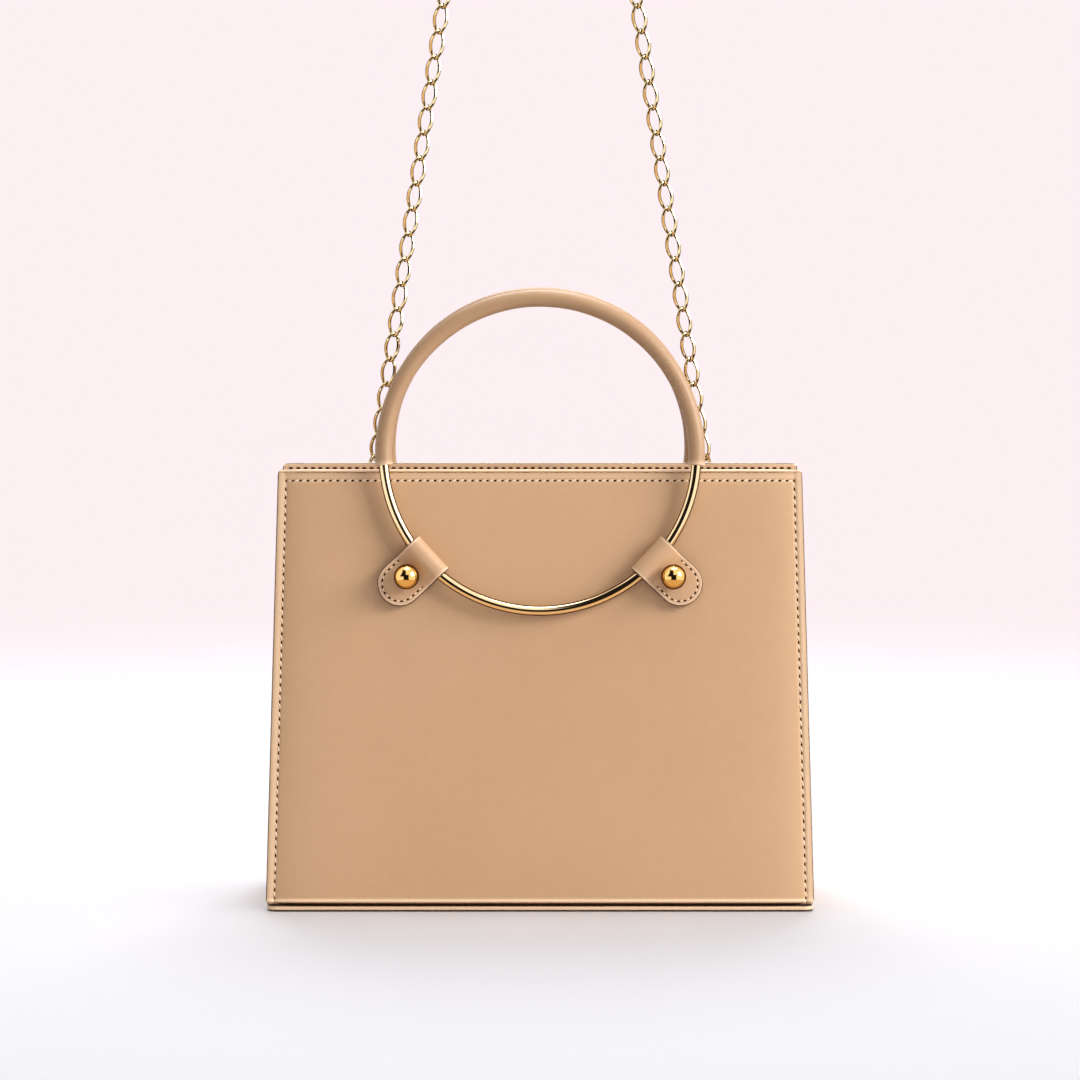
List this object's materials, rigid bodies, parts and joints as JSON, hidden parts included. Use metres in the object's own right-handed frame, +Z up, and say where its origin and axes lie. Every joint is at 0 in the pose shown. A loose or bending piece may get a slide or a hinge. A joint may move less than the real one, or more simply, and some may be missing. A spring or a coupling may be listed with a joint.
{
  "type": "crossbody bag",
  "caption": "Small structured leather bag with leaning panels, pleated sides, ring handles held by leather tabs with ball studs, and a curb chain strap.",
  "frame": {"origin": "middle of the chain's top link, where the bag hangs", "axes": "+X to the right seen from the front, +Y to the back, +Z up; the front panel faces -Y"},
  "size_m": [0.2188, 0.0862, 0.59],
  "materials": {
    "body_leather": "smooth semi-matt camel leather, tone-on-tone stitching",
    "gusset_leather": "thin smooth camel leather",
    "strap_leather": "smooth camel strap leather with painted edges",
    "ring_metal": "polished pale gold plating",
    "chain_metal": "polished light gold plating"
  },
  "bodies": {
    "bag": {"base": "body_leather", "front_panel": "body_leather", "back_panel": "body_leather", "gusset_left": "gusset_leather", "gusset_right": "gusset_leather", "back_ring": "ring_metal", "back_grip": "strap_leather", "front_tab_left": "strap_leather", "front_tab_right": "strap_leather", "back_tab_left": "strap_leather", "back_tab_right": "strap_leather", "front_stud_left": "ring_metal", "front_stud_right": "ring_metal", "back_stud_left": "ring_metal", "back_stud_right": "ring_metal", "chain_strap": "chain_metal", "chain_clasp_left": "chain_metal", "chain_clasp_right": "chain_metal"},
    "front_handle": {"front_ring": "ring_metal", "front_grip": "strap_leather"}
  },
  "joints": [
    {"name": "front_ring_turn", "type": "hinge", "parent": "bag", "child": "front_handle", "pos_m": [0, -0.02564, -0.40483], "axis": [0, -0.993, 0.1178], "range_deg": [-28, 28]}
  ]
}
